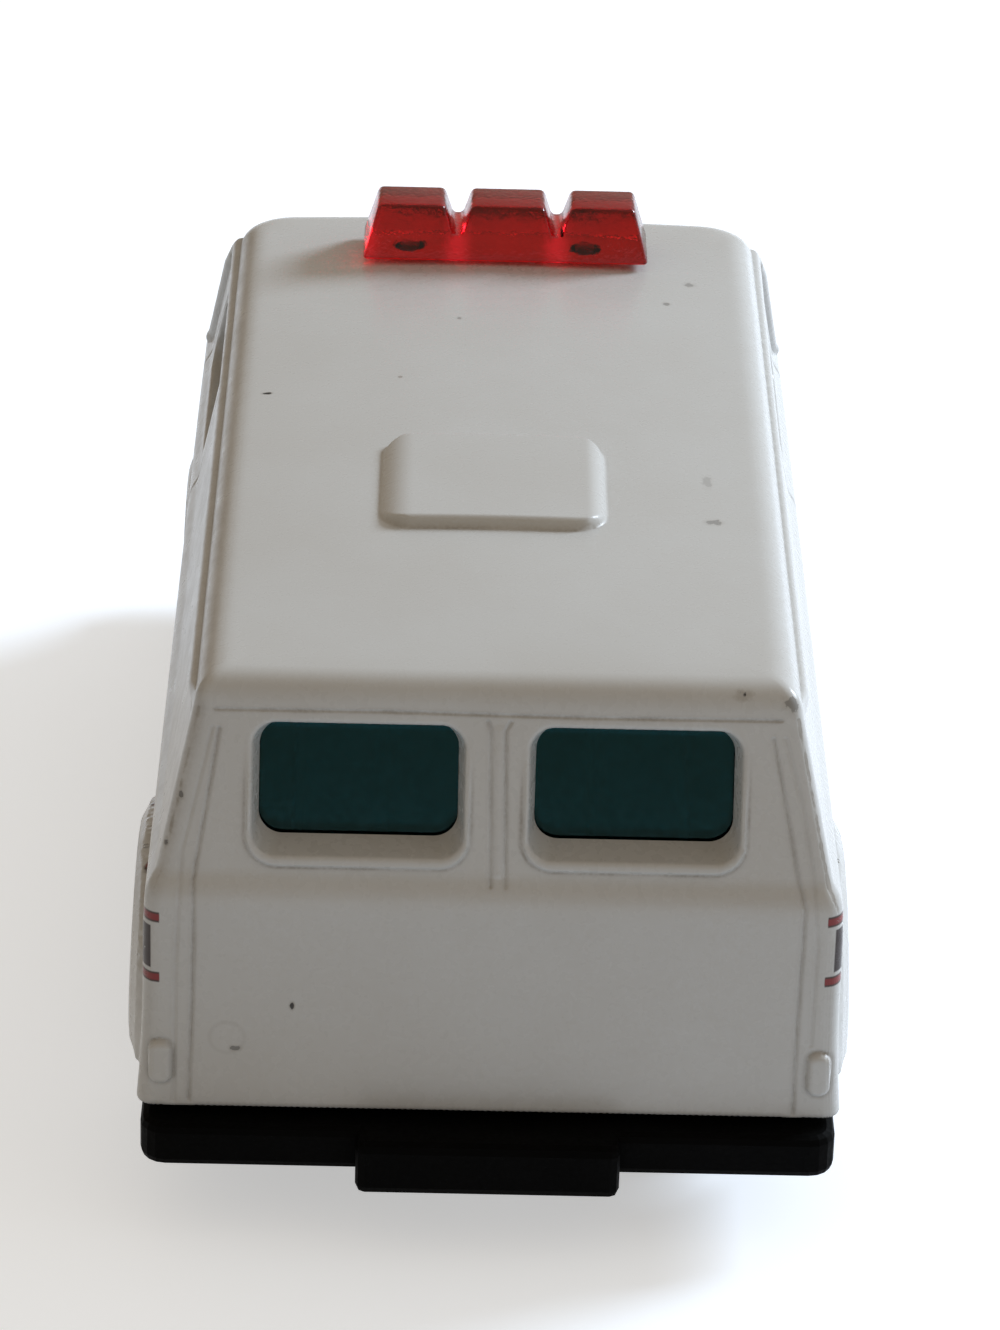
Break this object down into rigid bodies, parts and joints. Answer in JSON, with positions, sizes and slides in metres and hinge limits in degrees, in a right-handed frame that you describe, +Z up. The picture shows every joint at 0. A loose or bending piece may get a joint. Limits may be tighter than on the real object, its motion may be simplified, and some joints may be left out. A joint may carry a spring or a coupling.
{
  "type": "toy police van",
  "caption": "Die-cast toy police van: white hollow metal body on a black plastic base, tinted glazing, red roof light bar and free-rolling wheels.",
  "frame": {"origin": "on the ground under the middle of the van's length and width", "axes": "+X forward to the nose, +Y to the van's left, +Z up; the wheels turn about Y"},
  "size_m": [0.0628, 0.031, 0.028],
  "materials": {
    "body_shell": "gloss white enamel",
    "chassis_base": "satin black moulding",
    "window_glazing": "dark tinted clear moulding",
    "interior_tray": "grey moulding",
    "roof_light_bar": "clear red moulding",
    "axle": "bright drawn wire",
    "wheel": "black moulding with a bright hub",
    "rivet": "bright formed head"
  },
  "bodies": {
    "van": {"body_shell": "body_shell", "chassis_base": "chassis_base", "window_glazing": "window_glazing", "interior_tray": "interior_tray", "roof_light_bar": "roof_light_bar", "front_rivet": "rivet", "rear_rivet": "rivet"},
    "axle_front": {"front_axle": "axle"},
    "axle_rear": {"rear_axle": "axle"},
    "wheel_fl": {"wheel_front_left": "wheel"},
    "wheel_fr": {"wheel_front_right": "wheel"},
    "wheel_rl": {"wheel_rear_left": "wheel"},
    "wheel_rr": {"wheel_rear_right": "wheel"}
  },
  "joints": [
    {"name": "front_axle_turn", "type": "hinge", "parent": "van", "child": "axle_front", "pos_m": [0.02055, 0, 0.0053], "axis": [0, 1, 0], "continuous": true},
    {"name": "rear_axle_turn", "type": "hinge", "parent": "van", "child": "axle_rear", "pos_m": [-0.01665, 0, 0.0053], "axis": [0, 1, 0], "continuous": true},
    {"name": "front_left_wheel_spin", "type": "hinge", "parent": "van", "child": "wheel_fl", "pos_m": [0.02055, 0.0117, 0.0053], "axis": [0, 1, 0], "continuous": true},
    {"name": "front_right_wheel_spin", "type": "hinge", "parent": "van", "child": "wheel_fr", "pos_m": [0.02055, -0.0117, 0.0053], "axis": [0, 1, 0], "continuous": true},
    {"name": "rear_left_wheel_spin", "type": "hinge", "parent": "van", "child": "wheel_rl", "pos_m": [-0.01665, 0.0117, 0.0053], "axis": [0, 1, 0], "continuous": true},
    {"name": "rear_right_wheel_spin", "type": "hinge", "parent": "van", "child": "wheel_rr", "pos_m": [-0.01665, -0.0117, 0.0053], "axis": [0, 1, 0], "continuous": true}
  ]
}
